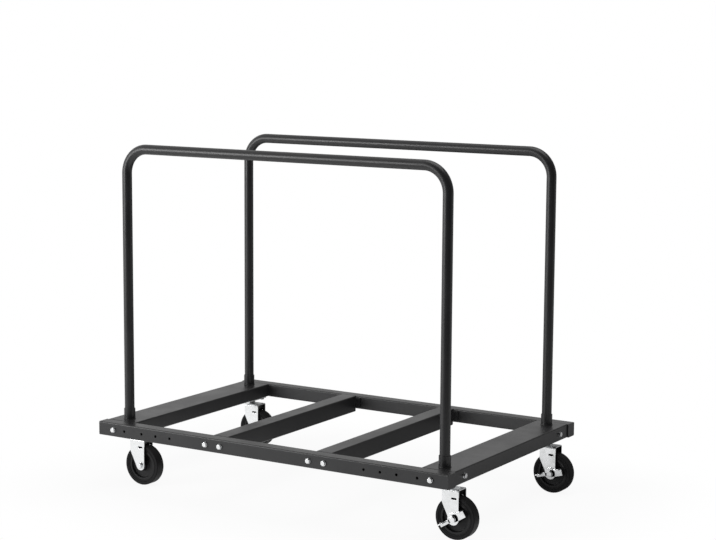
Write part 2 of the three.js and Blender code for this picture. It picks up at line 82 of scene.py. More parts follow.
# Directions whose cosine is above these run along each other, or face the same way
PARALLEL = 0.999
FACING = 0.9
# Faces that meet at less than this angle, in degrees, are shaded as one smooth surface
SMOOTH_ANGLE = 32.0

Number = Union[int, float]
Pair = tuple[float, float]
Triple = tuple[float, float, float]
Outline = Sequence[Pair]
Verts = list[bmesh.types.BMVert]
Edges = list[bmesh.types.BMEdge]


class Side(Enum):
    """A side of the cart, by the way it faces along its axis."""

    @property
    def word(self) -> str:
        """The word that node names use for this side."""
        return self.name.lower()

    @property
    def axis(self) -> Vector:
        """The axis that this side faces along."""
        return ALONG_X if isinstance(self, End) else ALONG_Y


class Face(Side):
    """The two long sides of the cart, which face along Y."""

    FRONT = -1
    REAR = 1


class End(Side):
    """The two ends of the cart, which face along X."""

    LEFT = -1
    RIGHT = 1


class Slot(Enum):
    """The record's material slots."""

    COATED_STEEL = "coated_steel"
    ZINC_STEEL = "zinc_steel"
    PLAIN_STEEL = "plain_steel"
    TREAD_RUBBER = "tread_rubber"
    CORE_PLASTIC = "core_plastic"


class Sharp(Enum):
    """Which edges are softened: those whose faces meet at more than this angle, in degrees."""

    BLOCK = 60.0
    PLATE = 50.0
    TURNED = 40.0
    MOULDED = 30.0


class Value:
    """A shader socket that Python operators turn into Math nodes."""

    def __init__(self, graph: "Graph", socket: bpy.types.NodeSocket) -> None:
        """Wrap one output socket of a graph."""
        self.graph = graph
        self.socket = socket

    def _math(self, operation: str, first: "Operand", second: "Operand") -> "Value":
        """Return the result of a Math node."""
        return self.graph.node("ShaderNodeMath", {"operation": operation}, {0: first, 1: second})

    def __add__(self, other: "Operand") -> "Value":
        """Return the sum."""
        return self._math("ADD", self, other)

    __radd__ = __add__

    def __sub__(self, other: "Operand") -> "Value":
        """Return the difference."""
        return self._math("SUBTRACT", self, other)

    def __rsub__(self, other: "Operand") -> "Value":
        """Return the difference from a number."""
        return self._math("SUBTRACT", other, self)

    def __mul__(self, other: "Operand") -> "Value":
        """Return the product."""
        return self._math("MULTIPLY", self, other)

    __rmul__ = __mul__

    def largest(self, other: "Operand") -> "Value":
        """Return the larger of the two."""
        return self._math("MAXIMUM", self, other)


Operand = Union[Value, Number]


class Graph:
    """The shader nodes of one material or world."""

    NOISE_ROUGHNESS = 0.55
    # A Mix node has sockets for each kind of value, and these are the numbers of those for colours
    MIX_FIRST = 6
    MIX_SECOND = 7
    MIX_RESULT = 2

    def __init__(self, tree: bpy.types.NodeTree) -> None:
        """Take over a node tree and empty it."""
        self.tree = tree
        tree.nodes.clear()

    def node(
        self,
        kind: str,
        settings: dict[str, object] | None = None,
        inputs: dict[int | str, object] | None = None,
        output: int | str = 0,
    ) -> Value | None:
        """Add a node.

        Args:
            kind: the node's type.
            settings: its own settings, which are set first.
            inputs: numbers, colours, vectors or links for its sockets, by name or number.
            output: the socket that is returned.

        Returns:
            The output socket, if the node has one.
        """
        node = self.tree.nodes.new(kind)
        for name, value in (settings or {}).items():
            setattr(node, name, value)
        for key, value in (inputs or {}).items():
            if isinstance(value, Value):
                self.tree.links.new(value.socket, node.inputs[key])
            else:
                node.inputs[key].default_value = value
        return Value(self, node.outputs[output]) if len(node.outputs) else None

    def place(self) -> Value:
        """Return the object's own coordinates."""
        return self.node("ShaderNodeTexCoord", output="Object")

    def noise(self, scale: float, detail: float) -> Value:
        """Return a noise from 0 to 1, with a number of lumps to the metre and of finer layers."""
        inputs = {"Vector": self.place(), "Scale": scale, "Detail": detail}
        return self.node("ShaderNodeTexNoise", inputs={**inputs, "Roughness": self.NOISE_ROUGHNESS})

    def spread(self, value: Value, low: float, high: float, start: float = 0.3, end: float = 0.7) -> Value:
        """Return a value that goes smoothly from low, at the start, to high, at the end."""
        inputs = {"Value": value, "From Min": start, "From Max": end, "To Min": low, "To Max": high}
        return self.node("ShaderNodeMapRange", {"interpolation_type": "SMOOTHSTEP"}, inputs)

    def blend(self, share: Operand, first: object, second: object) -> Value:
        """Return a colour between two colours, with a share of the second."""
        inputs = {"Factor": share, self.MIX_FIRST: first, self.MIX_SECOND: second}
        return self.node("ShaderNodeMix", {"data_type": "RGBA"}, inputs, self.MIX_RESULT)

    def part(self, vector: Value, axis: str) -> Value:
        """Return a vector's part along an axis."""
        return self.node("ShaderNodeSeparateXYZ", inputs={0: vector}, output=axis)

    def facing_up(self) -> Value:
        """Return the upward part of the surface's direction, from 0 to 1."""
        normal = self.node("ShaderNodeNewGeometry", output="Normal")
        return self.part(normal, "Z").largest(0.0)

    def vector(self, kind: str, first: Value, second: Triple = NOTHING, output: str = "Vector") -> Value:
        """Return the result of a Vector Math node."""
        return self.node("ShaderNodeVectorMath", {"operation": kind}, {0: first, 1: second}, output)

    def bump(self, height: Value, distance: float) -> Value:
        """Return a normal raised by a height, where a height of 1 stands up by the distance."""
        return self.node("ShaderNodeBump", inputs={"Height": height, "Distance": distance})


@dataclass(frozen=True)
class Hollow:
    """Painted shade on the inside of a bent channel, told by its place: between the legs and under the
    crown, where shade falls.
    """

    plane: float
    half: float
    top: float
    edge: float = 0.6 * MM
    # The painted shade's colour, darker than the zinc around it
    colour: Triple = (0.07, 0.07, 0.07)

    def share(self, graph: Graph) -> Value:
        """Tell the inside from the outside.

        Args:
            graph: the material's nodes.

        Returns:
            The share of the painted shade: 1 on the inside and 0 on the outside.
        """
        place = graph.place()
        from_middle = graph.vector("ABSOLUTE", place)
        from_plane = graph.vector("SUBTRACT", from_middle, (0.0, self.plane, 0.0))
        across = graph.part(graph.vector("ABSOLUTE", from_plane), "Y")
        between = graph.spread(across, 1.0, 0.0, self.half, self.half + self.edge)
        return between * graph.spread(graph.part(place, "Z"), 1.0, 0.0, self.top, self.top + self.edge)


@dataclass(frozen=True)
class Finish:
    """A surface finish: its colour, how rough it is and how far both wander."""

    name: str
    slot: Slot
    colour: Triple
    second_colour: Triple
    roughness: float
    roughness_wander: float
    cloud_scale: float
    grain_scale: float
    grain_height: float
    metallic: float = 0.0
    specular: float = 0.5
    cloud_detail: float = 3.0
    grain_detail: float = 2.0
    grain_share: float = 0.4
    dust: float = 0.0
    dust_thinnest: float = 0.4
    dust_scale: float = 3.0
    dust_colour: Triple = (0.32, 0.30, 0.28)
    # Painted shade that darkens the inside of a channel, where shade falls, if the finish has one
    hollow: Hollow | None = None

    def material(self) -> bpy.types.Material:
        """Make the finish's material.

        Returns:
            The material, which is made the first time that it is asked for.
        """
        made = bpy.data.materials.get(self.name)
        if made is not None:
            return made
        material = bpy.data.materials.new(self.name)
        material.use_nodes = True
        graph = Graph(material.node_tree)
        cloud = graph.noise(self.cloud_scale, self.cloud_detail)
        grain = graph.noise(self.grain_scale, self.grain_detail)
        colour = graph.blend(graph.spread(cloud, 0.0, 1.0), (*self.colour, 1.0), (*self.second_colour, 1.0))
        if self.dust:
            patches = graph.noise(self.cloud_scale * self.dust_scale, self.cloud_detail)
            settled = graph.facing_up() * graph.spread(patches, self.dust_thinnest, 1.0)
            colour = graph.blend(settled * self.dust, colour, (*self.dust_colour, 1.0))
        # Painted shade: the colour is darkened inside the channel, between the legs and under the crown
        if self.hollow:
            colour = graph.blend(self.hollow.share(graph), colour, (*self.hollow.colour, 1.0))
        rough = graph.spread(
            cloud * (1.0 - self.grain_share) + grain * self.grain_share,
            self.roughness - self.roughness_wander,
            self.roughness + self.roughness_wander,
        )
        inputs = {
            "Base Color": colour,
            "Roughness": rough,
            "Metallic": self.metallic,
            "Specular IOR Level": self.specular,
            "Normal": graph.bump(grain, self.grain_height),
        }
        shader = graph.node("ShaderNodeBsdfPrincipled", inputs=inputs)
        graph.node("ShaderNodeOutputMaterial", inputs={"Surface": shader})
        return material


POWDER_COAT = Finish(
    "black_powder_coat",
    Slot.COATED_STEEL,
    colour=(0.013, 0.013, 0.014),
    second_colour=(0.016, 0.016, 0.017),
    roughness=0.38,
    roughness_wander=0.05,
    cloud_scale=9.0,
    grain_scale=620.0,
    grain_height=0.04 * MM,
    dust=0.02,
)
ZINC = Finish(
    "bright_zinc_plate",
    Slot.ZINC_STEEL,
    colour=(0.84, 0.85, 0.86),
    second_colour=(0.76, 0.77, 0.77),
    roughness=0.30,
    roughness_wander=0.08,
    cloud_scale=55.0,
    grain_scale=900.0,
    grain_height=0.015 * MM,
    metallic=1.0,
)
PLAIN_STEEL = Finish(
    "oiled_plain_steel",
    Slot.PLAIN_STEEL,
    colour=(0.30, 0.30, 0.31),
    second_colour=(0.20, 0.19, 0.18),
    roughness=0.34,
    roughness_wander=0.10,
    cloud_scale=70.0,
    grain_scale=800.0,
    grain_height=0.02 * MM,
    metallic=1.0,
)
TREAD_RUBBER = Finish(
    "black_tread_rubber",
    Slot.TREAD_RUBBER,
    colour=(0.004, 0.004, 0.0045),
    second_colour=(0.007, 0.007, 0.0075),
    roughness=0.60,
    roughness_wander=0.08,
    cloud_scale=45.0,
    grain_scale=1400.0,
    grain_height=0.05 * MM,
    dust=0.01,
    specular=0.18,
)
CORE_PLASTIC = Finish(
    "black_core_plastic",
    Slot.CORE_PLASTIC,
    colour=(0.007, 0.007, 0.0075),
    second_colour=(0.011, 0.011, 0.0115),
    roughness=0.44,
    roughness_wander=0.06,
    cloud_scale=60.0,
    grain_scale=1800.0,
    grain_height=0.03 * MM,
    specular=0.25,
)


@dataclass(frozen=True)
class Box:
    """The box that a CAD node fills at rest."""

    low: Vector
    high: Vector

    @classmethod
    def of(cls, node: str) -> "Box":
        """Return the box of a node."""
        return cls(*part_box(node))

    @property
    def middle(self) -> Vector:
        """The box's middle."""
        return (self.low + self.high) / 2

    @property
    def size(self) -> Vector:
        """The box's sizes along X, Y and Z."""
        return self.high - self.low

    def outer(self, side: Side) -> float:
        """Return where the box ends towards a side of the cart."""
        corner = self.low if side.value < 0 else self.high
        return corner.dot(side.axis)


def add_object(name: str, data: bpy.types.ID) -> bpy.types.Object:
    """Add an object to the scene.

    Args:
        name: the object's name.
        data: the mesh, lamp or camera that it holds.

    Returns:
        The object.
    """
    made = bpy.data.objects.new(name, data)
    bpy.context.scene.collection.objects.link(made)
    return made


def wear(node: str, finish: Finish) -> None:
    """Give a CAD node a finish in place of its own.

    Args:
        node: the node's name.
        finish: the finish that it gets.
    """
    materials = bpy.data.objects[node].data.materials
    materials.clear()
    materials.append(finish.material())
    LOG.info("%s wears %s", node, finish.name)


def axis_place(origin: Vector, direction: Vector) -> Matrix:
    """Return the matrix of a place whose Z axis points in a direction."""
    return Matrix.Translation(origin) @ UP.rotation_difference(direction).to_matrix().to_4x4()


def only_verts(items: Iterable[object]) -> Verts:
    """Return the vertices among an operator's results."""
    return [item for item in items if isinstance(item, bmesh.types.BMVert)]


def edges_among(verts: Iterable[bmesh.types.BMVert]) -> Edges:
    """Find the edges that join some vertices to each other.

    Args:
        verts: the vertices.

    Returns:
        The edges, each of them once.
    """
    chosen = set(verts)
    touching = dict.fromkeys(edge for vert in verts for edge in vert.link_edges)
    return [edge for edge in touching if chosen.issuperset(edge.verts)]


def edges_along(axis: Vector, verts: Iterable[bmesh.types.BMVert]) -> Edges:
    """Return the edges among some vertices that run along an axis."""
    runs = [(edge, edge.verts[1].co - edge.verts[0].co) for edge in edges_among(verts)]
    return [edge for edge, run in runs if abs(run.normalized().dot(axis)) > PARALLEL]


class Shape:
    """A mesh in the making, shaped with bmesh operators and finished as one piece."""

    def __init__(self) -> None:
        """Start with nothing."""
        self.mesh = bmesh.new()

    def block(self, low: Vector, high: Vector) -> Verts:
        """Add a box.

        Args:
            low: its low corner.
            high: its high corner.

        Returns:
            The vertices of its corners.
        """
        size = Matrix.Diagonal((*(high - low), 1.0))
        place = Matrix.Translation((low + high) / 2) @ size
        return bmesh.ops.create_cube(self.mesh, size=1.0, matrix=place)["verts"]

    def bar(self, low: Vector, high: Vector, axis: Vector, radius: float, segments: int) -> None:
        """Add a box whose edges along an axis are rounded to a radius in a number of segments."""
        self.round_off(edges_along(axis, self.block(low, high)), radius, segments)

    def prism(self, sides: int, radius: float, bottom: float, top: float, place: Matrix) -> Verts:
        """Add a closed prism or cylinder about the Z axis of a place.

        Args:
            sides: the number of its sides.
            radius: its radius at the corners.
            bottom: where it starts along the axis.
            top: where it ends along the axis.
            place: the matrix that places its axis.

        Returns:
            The new vertices.
        """
        middle = place @ Matrix.Translation((0.0, 0.0, (bottom + top) / 2))
        made = bmesh.ops.create_cone(
            self.mesh,
            cap_ends=True,
            segments=sides,
            radius1=radius,
            radius2=radius,
            depth=top - bottom,
            matrix=middle,
        )
        return made["verts"]

    def turn(self, outline: Outline, place: Matrix, steps: int, closed: bool = True) -> Verts:
        """Spin an outline about the Z axis of a place.

        Args:
            outline: its (radius, height) points; an open one starts and ends on the axis.
            place: the matrix that places the axis.
            steps: the number of steps in the full turn.
            closed: whether the last point joins the first.

        Returns:
            The new vertices.
        """
        before = set(self.mesh.verts)
        points = [self.mesh.verts.new(place @ Vector((radius, 0.0, height))) for radius, height in outline]
        pairs = zip(points, points[1:] + points[:1] if closed else points[1:])
        edges = [self.mesh.edges.new(pair) for pair in pairs]
        bmesh.ops.spin(
            self.mesh,
            geom=points + edges,
            cent=place.translation,
            axis=place.to_3x3() @ UP,
            angle=2 * math.pi,
            steps=steps,
            use_merge=True,
        )
        made = [vert for vert in self.mesh.verts if vert not in before]
        bmesh.ops.remove_doubles(self.mesh, verts=made, dist=SAME_PLACE)
        return [vert for vert in self.mesh.verts if vert not in before]

    def ring(self, radii: Pair, heights: Pair, place: Matrix, steps: int) -> None:
        """Add a flat ring about the Z axis of a place.

        Args:
            radii: its inner and outer radius.
            heights: where it starts and ends along the axis.
            place: the matrix that places the axis.
            steps: the number of steps in the full turn.
        """
        inner, outer = radii
        bottom, top = heights
        self.turn([(inner, bottom), (outer, bottom), (outer, top), (inner, top)], place, steps)

    def disc(self, sides: int, radius: float, place: Matrix) -> Verts:
        """Add a closed disc across the Z axis of a place and return its rim."""
        made = bmesh.ops.create_circle(
            self.mesh,
            cap_ends=True,
            segments=sides,
            radius=radius,
            matrix=place,
        )
        return made["verts"]

    def extend(self, rim: Verts, run: Vector) -> Verts:
        """Extrude a rim along a run.

        Args:
            rim: its vertices.
            run: how far the new rim moves.

        Returns:
            The vertices of the new rim.
        """
        moved = only_verts(bmesh.ops.extrude_edge_only(self.mesh, edges=edges_among(rim))["geom"])
        bmesh.ops.translate(self.mesh, verts=moved, vec=run)
        return moved

    def close(self, rim: Verts) -> None:
        """Close a rim with one face."""
        bmesh.ops.contextual_create(self.mesh, geom=rim)

    def slice(self, place: Vector, normal: Vector, clear: bool = False) -> Edges:
        """Cut every face that a plane crosses.

        Args:
            place: a point on the plane.
            normal: the way that the plane faces.
            clear: whether what lies in front of the plane is taken away.

        Returns:
            The edges along the cut.
        """
        every = self.mesh.verts[:] + self.mesh.edges[:] + self.mesh.faces[:]
        cut = bmesh.ops.bisect_plane(
            self.mesh,
            geom=every,
            dist=WELD,
            plane_co=place,
            plane_no=normal,
            clear_outer=clear,
        )
        return [item for item in cut["geom_cut"] if isinstance(item, bmesh.types.BMEdge)]

    def round_off(self, edges: Edges, radius: float, segments: int) -> None:
        """Bevel some edges to a radius in a number of segments."""
        bmesh.ops.bevel(
            self.mesh,
            geom=edges,
            offset=radius,
            offset_type="OFFSET",
            segments=segments,
            profile=0.5,
            affect="EDGES",
            material=-1,
            clamp_overlap=True,
        )

    def soften(self, radius: float, least: Sharp, segments: int = 2) -> None:
        """Bevel every edge that is sharper than an angle.

        Args:
            radius: the bevel's width.
            least: the smallest angle between faces that counts as sharp.
            segments: the bevel's segments.
        """
        bmesh.ops.recalc_face_normals(self.mesh, faces=self.mesh.faces)
        limit = math.radians(least.value)
        sharp = [edge for edge in self.mesh.edges if edge.is_manifold and edge.calc_face_angle() > limit]
        self.round_off(sharp, radius, segments)

    def take(self, other: "Shape") -> None:
        """Move another shape's mesh into this one.

        Args:
            other: the other shape, which is used up.
        """
        data = bpy.data.meshes.new("taken")
        other.mesh.to_mesh(data)
        other.mesh.free()
        self.mesh.from_mesh(data)
        bpy.data.meshes.remove(data)

    def finish(self, node: str, form: str, body: str, finish: Finish) -> None:
        """Turn the shape into a dressed piece that stands for a CAD node.

        Args:
            node: the node's name.
            form: the word that the piece's name adds to it.
            body: the CAD body that the piece moves with.
            finish: the piece's surface finish.
        """
        name = f"{node}_{form}"
        bmesh.ops.remove_doubles(self.mesh, verts=self.mesh.verts, dist=WELD)
        bmesh.ops.recalc_face_normals(self.mesh, faces=self.mesh.faces)
        data = bpy.data.meshes.new(name)
        self.mesh.to_mesh(data)
        self.mesh.free()
        data.polygons.foreach_set("use_smooth", [True] * len(data.polygons))
        data.set_sharp_from_angle(angle=math.radians(SMOOTH_ANGLE))
        data.materials.append(finish.material())
        piece = add_object(name, data)
        piece.modifiers.new("flat_faces_stay_flat", "WEIGHTED_NORMAL").keep_sharp = True
        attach(piece, body)
        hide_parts(node)
        LOG.info("%s rides on %s: %d faces", name, body, len(data.polygons))


@dataclass
class WeldBead:
    """A rippled weld bead, round a post or along a straight joint."""

    radius: float = 2.2 * MM
    ripple: float = 0.35 * MM
    pitch: float = 3.2 * MM
    sides: int = 8
    steps_per_wave: int = 4

    def ring(self, shape: Shape, centre: Vector, ring_radius: float) -> None:
        """Add a bead in a ring.

        Args:
            shape: the shape that it is added to.
            centre: the ring's centre.
            ring_radius: the radius of the bead's middle line.
        """
        waves = round(2 * math.pi * ring_radius / self.pitch)
        angles = [2 * math.pi * side / self.sides for side in range(self.sides)]
        outline = [
            (ring_radius + self.radius * math.cos(angle), self.radius * math.sin(angle))
            for angle in angles
        ]
        for vert in shape.turn(outline, Matrix.Translation(centre), waves * self.steps_per_wave):
            flat = (vert.co - centre) * (ALONG_X + ALONG_Y)
            swell = self.ripple * math.sin(waves * math.atan2(flat.y, flat.x))
            core = centre + flat.normalized() * ring_radius
            vert.co += (vert.co - core).normalized() * swell

    def line(self, shape: Shape, start: Vector, end: Vector) -> None:
        """Add a bead along a line.

        Args:
            shape: the shape that it is added to.
            start: where the bead's middle line starts.
            end: where it ends.
        """
        run = end - start
        steps = round(run.length / self.pitch) * self.steps_per_wave
        wave = 2 * math.pi / self.steps_per_wave
        rim = shape.disc(self.sides, self.radius, axis_place(start, run))
        for step in range(1, steps + 1):
            rim = shape.extend(rim, run / steps)
            middle = start + run * (step / steps)
            swell = self.ripple * (math.sin(step * wave) - math.sin((step - 1) * wave))
            for vert in rim:
                vert.co += (vert.co - middle).normalized() * swell
        shape.close(rim)


@dataclass
class HexBolt:
    """A hexagon-headed bolt with its washer and, where it has one, its nut."""

    shank: float = 8 * MM
    across: float = 14 * MM
    head: float = 5.5 * MM
    washer: float = 17 * MM
    washer_thickness: float = 1.6 * MM
    nut: float = 6.5 * MM
    tail: float = 2 * MM
    gap: float = 0.3 * MM
    flats: int = 6
    chamfer: float = 0.9 * MM
    chamfer_segments: int = 2
    washer_steps: int = 32
    shank_sides: int = 24

    def add_head(self, shape: Shape, place: Matrix) -> None:
        """Add the head and the washer.

        Args:
            shape: the shape that they are added to.
            place: where the washer bears, with the Z axis pointing into the clamped pieces.
        """
        under_head = -self.gap - self.washer_thickness
        self._hexagon(shape, place, under_head, under_head - self.head)
        radii = (self.shank / 2, self.washer / 2)
        shape.ring(radii, (under_head, -self.gap), place, self.washer_steps)

    def add_nut(self, shape: Shape, place: Matrix, grip: float) -> None:
        """Add the shank and the nut at its far end.

        Args:
            shape: the shape that they are added to.
            place: where the washer bears, with the Z axis pointing into the clamped pieces.
            grip: how much is clamped.
        """
        nut_start = grip + self.gap
        nut_end = nut_start + self.nut
        self._hexagon(shape, place, nut_start, nut_end)
        shape.prism(self.shank_sides, self.shank / 2, 0.0, nut_end + self.tail, place)

    def _hexagon(self, shape: Shape, place: Matrix, inner: float, outer: float) -> None:
        """Add a hexagon whose outer corners are turned to a cone.

        Args:
            shape: the shape that it is added to.
            place: the bolt's place.
            inner: where it bears, along the bolt.
            outer: where its chamfered end is.
        """
        radius = self.across / 2 / math.cos(math.pi / self.flats)
        verts = shape.prism(self.flats, radius, min(inner, outer), max(inner, outer), place)
        inward = place.inverted()
        corners = [vert for vert in verts if abs((inward @ vert.co).z - outer) < SAME_PLACE]
        shape.round_off(edges_among(corners), self.chamfer, self.chamfer_segments)


BED_BOLT = HexBolt()
PLATE_BOLT = HexBolt(
    across=13 * MM,
    head=5 * MM,
    washer=16 * MM,
    washer_thickness=1.4 * MM,
    gap=0.05 * MM,
)
AXLE_BOLT = HexBolt(
    shank=10 * MM,
    across=17 * MM,
    head=6 * MM,
    washer=20 * MM,
    washer_thickness=2 * MM,
    nut=8 * MM,
)


@dataclass
class Bed:
    """The bed: rails, end beams, middle beams and the bolts that hold them together."""

    body: str = "cart"
    corner: float = 4 * MM
    corner_segments: int = 5
    end_round: float = 0.8 * MM
    spare_hole: float = 9 * MM
    spare_holes: tuple[float, ...] = (365 * MM, 422 * MM, 479 * MM, 550 * MM)
    hole_patch: float = 8 * MM
    hole_depth: float = 20 * MM
    hole_cuts: int = 5
    middle_width: float = 58 * MM
    flange_width: float = 98 * MM
    flange_height: float = 34 * MM
    flange_thickness: float = 6 * MM
    flange_corner: float = 4 * MM
    flange_segments: int = 4
    flange_round: float = 0.6 * MM
    bead_margin: float = 2 * MM
    bracket_thickness: float = 3 * MM
    beam_wall: float = 2.5 * MM
    gap: float = 0.3 * MM
    bead: WeldBead = field(default_factory=WeldBead)

    def build(self) -> None:
        """Build and dress the whole bed."""
        for face in Face:
            self.rail(face)
        for end in End:
            self.end_beam(end)
            self.middle_beam(end)
            for face in Face:
                self.corner_joint(face, end)

    def rail(self, face: Face) -> None:
        """Build one rail: a rounded box tube with open spare holes in its outer face.

        Args:
            face: the long side of the cart that it is on.
        """
        name = f"{face.word}_rail"
        box = Box.of(name)
        shape = Shape()
        shape.bar(box.low, box.high, ALONG_X, self.corner, self.corner_segments)
        shape.soften(self.end_round, Sharp.BLOCK)
        for side, reach in product(SIDES, self.spare_holes):
            place = Vector((box.middle.x + side * reach, box.outer(face), box.middle.z))
            self._punch(shape, place, -face.value * face.axis)
        shape.finish(name, "tube", self.body, POWDER_COAT)

    def _punch(self, shape: Shape, place: Vector, inward: Vector) -> None:
        """Sink a round hole into a flat upright face.

        Args:
            shape: the shape with the face.
            place: the hole's middle on the face.
            inward: the way into the face.
        """
        for axis, side in product((ALONG_X, UP), SIDES):
            shape.slice(place + axis * side * self.hole_patch, axis)
        patch = min(shape.mesh.faces, key=lambda one: (one.calc_center_median() - place).length)
        border = list(patch.edges)
        bmesh.ops.delete(shape.mesh, geom=[patch], context="FACES_ONLY")
        bmesh.ops.subdivide_edges(shape.mesh, edges=border, cuts=self.hole_cuts)
        rim = shape.extend([vert for vert in shape.mesh.verts if vert.is_boundary], Vector())
        for vert in rim:
            vert.co = place + (vert.co - place).normalized() * self.spare_hole / 2
        shape.close(shape.extend(rim, inward * self.hole_depth))

    def end_beam(self, end: End) -> None:
        """Build one end beam: a wide flat box tube between the rails.

        Args:
            end: the end of the cart that it is at.
        """
        name = f"{end.word}_end_beam"
        box = Box.of(name)
        shape = Shape()
        shape.bar(box.low, box.high, ALONG_Y, self.corner, self.corner_segments)
        shape.finish(name, "tube", self.body, POWDER_COAT)

    def middle_beam(self, end: End) -> None:
        """Build one middle beam: a box tube with a welded flange plate at each end.

        Args:
            end: the end of the cart that it is at.
        """
        name = f"{end.word}_middle_beam"
        box = Box.of(name)
        level = Box.of("front_rail").middle.z
        half = ALONG_X * self.middle_width / 2
        low = Vector((box.middle.x, box.low.y, box.low.z)) - half
        high = Vector((box.middle.x, box.high.y, box.high.z)) + half
        shape = Shape()
        shape.bar(low, high, ALONG_Y, self.corner, self.corner_segments)
        for face in Face:
            self._flange(shape, Vector((box.middle.x, box.outer(face), level)), face)
        shape.finish(name, "tube", self.body, POWDER_COAT)

    def _flange(self, shape: Shape, middle: Vector, face: Face) -> None:
        """Add a flange plate and the two weld beads that hold it to a middle beam.

        Args:
            shape: the shape that they are added to.
            middle: the middle of the plate's outer face.
            face: the side of the cart that the plate faces.
        """
        half = Vector((self.flange_width / 2, 0.0, self.flange_height / 2))
        inner = middle.y - face.value * self.flange_thickness
        low = middle - half
        high = middle + half
        low.y, high.y = sorted((inner, middle.y))
        plate = Shape()
        plate.bar(low, high, ALONG_Y, self.flange_corner, self.flange_segments)
        plate.soften(self.flange_round, Sharp.BLOCK)
        shape.take(plate)
        for side in SIDES:
            foot = Vector((middle.x + side * self.middle_width / 2, inner, low.z + self.bead_margin))
            self.bead.line(shape, foot, foot + UP * (self.flange_height - 2 * self.bead_margin))

    def corner_joint(self, face: Face, end: End) -> None:
        """Build the bolts through one half of a rail and the end face beside it, and dress the bracket.

        Args:
            face: the long side of the cart that it is on.
            end: the end of the cart that it is at.
        """
        corner = f"{face.word}_{end.word}"
        rail = Box.of(f"{face.word}_rail")
        beam = Box.of(f"{end.word}_end_beam")
        bracket = self.gap + self.bracket_thickness
        self._bolt(f"{corner}_end_bolt", rail, face, rail.size.y + bracket)
        self._bolt(f"{corner}_middle_inner_bolt", rail, face)
        self._bolt(f"{corner}_middle_outer_bolt", rail, face)
        self._bolt(f"{corner}_end_face_bolt", beam, end, self.beam_wall + bracket)
        wear(f"{corner}_corner_bracket", PLAIN_STEEL)

    def _bolt(self, node: str, tube: Box, side: Side, grip: float | None = None) -> None:
        """Build one bolt through the outer face of a tube.

        Args:
            node: the bolt's CAD node.
            tube: the tube's box.
            side: the side of the cart that the head is on.
            grip: how much the bolt clamps, where it has a nut.
        """
        middle = Box.of(node).middle
        start = middle + side.axis * (tube.outer(side) - middle.dot(side.axis))
        place = axis_place(start, -side.value * side.axis)
        shape = Shape()
        BED_BOLT.add_head(shape, place)
        if grip is not None:
            BED_BOLT.add_nut(shape, place, grip)
        shape.finish(node, "set", self.body, ZINC)


@dataclass
class Hoops:
    """The two bent-tube hoops and the low sockets round their feet."""

    body: str = "cart"
    tube_sides: int = 40
    bend_radius: float = 80 * MM
    bend_steps: int = 20
    socket_wall: float = 2 * MM
    socket_lip: float = 0.8 * MM
    lip_segments: int = 3
    socket_steps: int = 48
    bead_rise: float = 0.5 * MM
    bead_reach: float = 0.2 * MM
    bead: WeldBead = field(default_factory=lambda: WeldBead(radius=1.2 * MM, ripple=0.2 * MM))

    def build(self) -> None:
        """Build and dress both hoops and all four sockets."""
        for face in Face:
            self.hoop(face)
            for end in End:
                self.socket(face, end)

    def hoop(self, face: Face) -> None:
        """Build one hoop by carrying a circle up a post, round two bends and down the other post.

        Args:
            face: the long side of the cart that it is on.
        """
        name = f"{face.word}_hoop"
        box = Box.of(name)
        radius = box.size.y / 2
        rise = UP * (box.size.z - radius - self.bend_radius)
        span = ALONG_X * (box.size.x - 2 * (radius + self.bend_radius))
        foot = Vector((box.low.x + radius, box.middle.y, box.low.z))
        bend = foot + rise + ALONG_X * self.bend_radius
        shape = Shape()
        rim = shape.disc(self.tube_sides, radius, Matrix.Translation(foot))
        rim = shape.extend(rim, rise)
        rim = self._bend(shape, rim, bend)
        rim = shape.extend(rim, span)
        rim = self._bend(shape, rim, bend + span)
        shape.close(shape.extend(rim, -rise))
        shape.finish(name, "tube", self.body, POWDER_COAT)

    def _bend(self, shape: Shape, rim: Verts, centre: Vector) -> Verts:
        """Carry a rim round a quarter turn.

        Args:
            shape: the shape that it is in.
            rim: its vertices.
            centre: the bend's centre.

        Returns:
            The rim at the bend's end.
        """
        made = bmesh.ops.spin(
            shape.mesh,
            geom=rim + edges_among(rim),
            cent=centre,
            axis=ALONG_Y,
            angle=math.pi / 2,
            steps=self.bend_steps,
        )
        return only_verts(made["geom_last"])

    def socket(self, face: Face, end: End) -> None:
        """Build one socket: a sleeve with a rounded lip and a fine weld bead round its foot.

        Args:
            face: the long side of the cart that it is on.
            end: the end of the cart that it is at.
        """
        name = f"{face.word}_{end.word}_socket"
        box = Box.of(name)
        outer = box.size.x / 2
        foot = Vector((box.middle.x, box.middle.y, box.low.z))
        shape = Shape()
        radii = (outer - self.socket_wall, outer)
        shape.ring(radii, (0.0, box.size.z), Matrix.Translation(foot), self.socket_steps)
        shape.soften(self.socket_lip, Sharp.BLOCK, self.lip_segments)
        self.bead.ring(shape, foot + UP * self.bead_rise, outer + self.bead_reach)
        shape.finish(name, "sleeve", self.body, POWDER_COAT)


